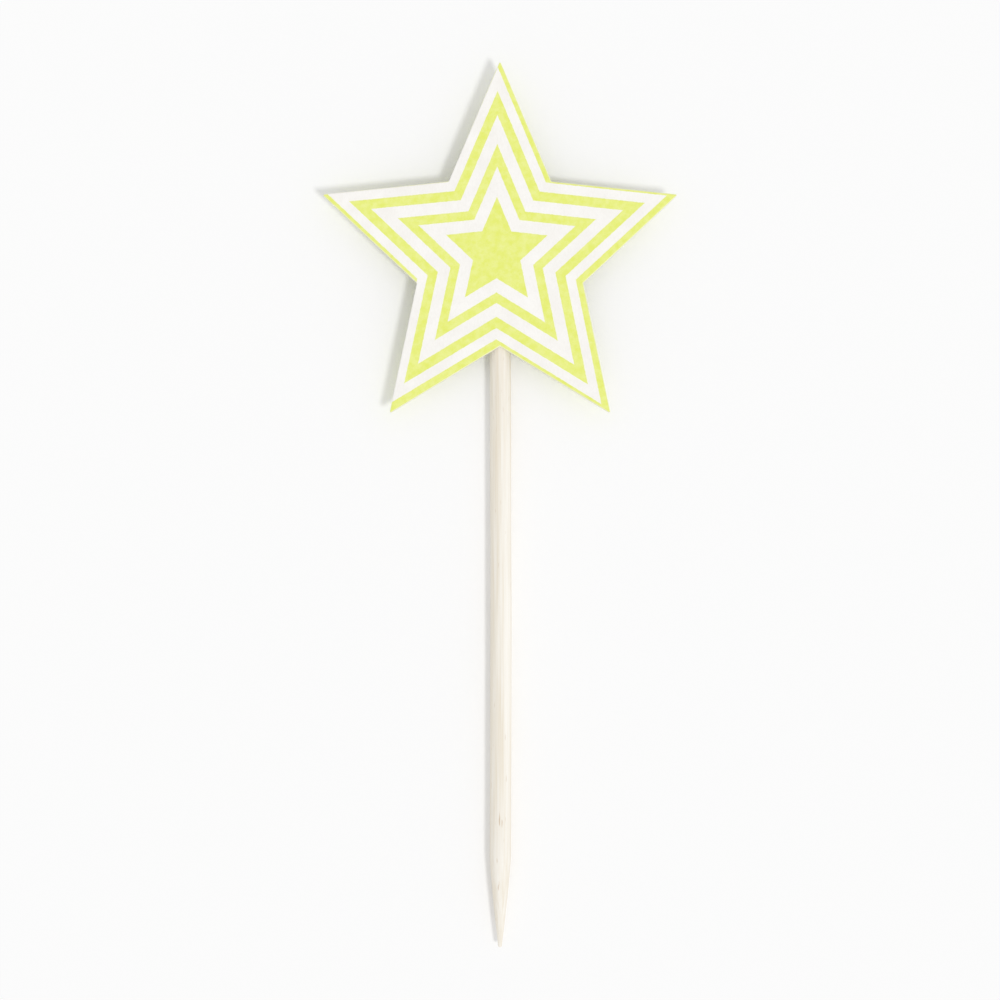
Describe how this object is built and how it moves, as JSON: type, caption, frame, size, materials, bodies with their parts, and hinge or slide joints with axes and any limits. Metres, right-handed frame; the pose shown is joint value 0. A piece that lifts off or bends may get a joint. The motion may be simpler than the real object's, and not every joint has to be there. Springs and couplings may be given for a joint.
{
  "type": "cocktail pick",
  "caption": "Party cocktail pick: a die-cut card star printed with nested yellow and white stars, glued to the blunt end of a pointed round wooden stick, for holding or marking small food.",
  "frame": {"origin": "middle of the pick's footprint, on the surface that the stick lies on", "axes": "+Z out of the star's face, +Y along the stick from its point to the star's top point, +X to the star's right"},
  "size_m": [0.0368, 0.0912, 0.0026],
  "materials": {
    "printed_card": "matte",
    "stick_wood": "matte",
    "dried_glue": "satin"
  },
  "bodies": {
    "root": {"star_card": "printed_card", "stick": "stick_wood", "glue_dab": "dried_glue"}
  },
  "joints": []
}
